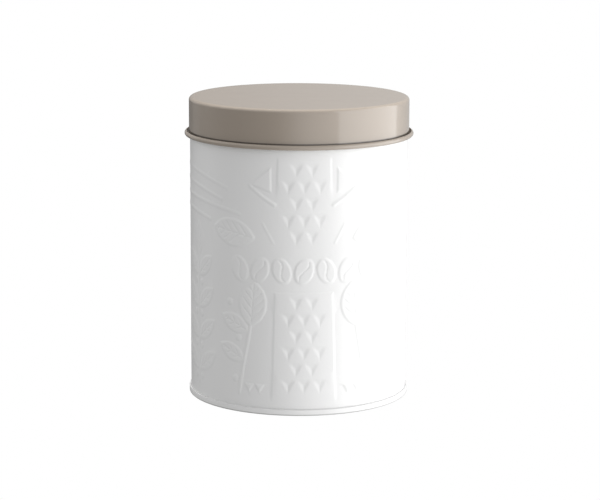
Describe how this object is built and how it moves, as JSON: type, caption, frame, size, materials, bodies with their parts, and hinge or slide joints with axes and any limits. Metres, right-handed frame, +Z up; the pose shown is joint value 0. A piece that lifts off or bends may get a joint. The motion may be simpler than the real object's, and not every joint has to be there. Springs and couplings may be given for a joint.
{
  "type": "coffee tin",
  "caption": "Round sheet-metal coffee tin: embossed white canister with a double-seamed base and a taupe slip-on lid with a curled edge and a sealed plug.",
  "frame": {"origin": "centre of the foot rim, on the surface that the tin stands on", "axes": "+Z up along the tin's axis, -Y towards the middle of the embossed front, +X towards the side seam"},
  "size_m": [0.1144, 0.1144, 0.15],
  "materials": {
    "white_enamel": "satin white powder coat over embossed tinplate",
    "base_enamel": "satin white powder coat",
    "seam_compound": "dull",
    "taupe_enamel": "satin taupe powder coat",
    "plug_tinplate": "bright tinplate under clear lacquer",
    "seal_silicone": "matt translucent silicone"
  },
  "bodies": {
    "canister": {"body_wall": "white_enamel", "base_end": "base_enamel", "base_seam_compound": "seam_compound"},
    "seal": {"lid_seal": "seal_silicone"},
    "lid": {"lid_shell": "taupe_enamel", "lid_plug": "plug_tinplate"}
  },
  "joints": [
    {"name": "lid_lift", "type": "slide", "parent": "canister", "child": "seal", "axis": [0, 0, 1], "range_m": [0, 0.08]},
    {"name": "lid_turn", "type": "hinge", "parent": "seal", "child": "lid", "pos_m": [0, 0, 0.14], "axis": [0, 0, 1], "continuous": true}
  ]
}
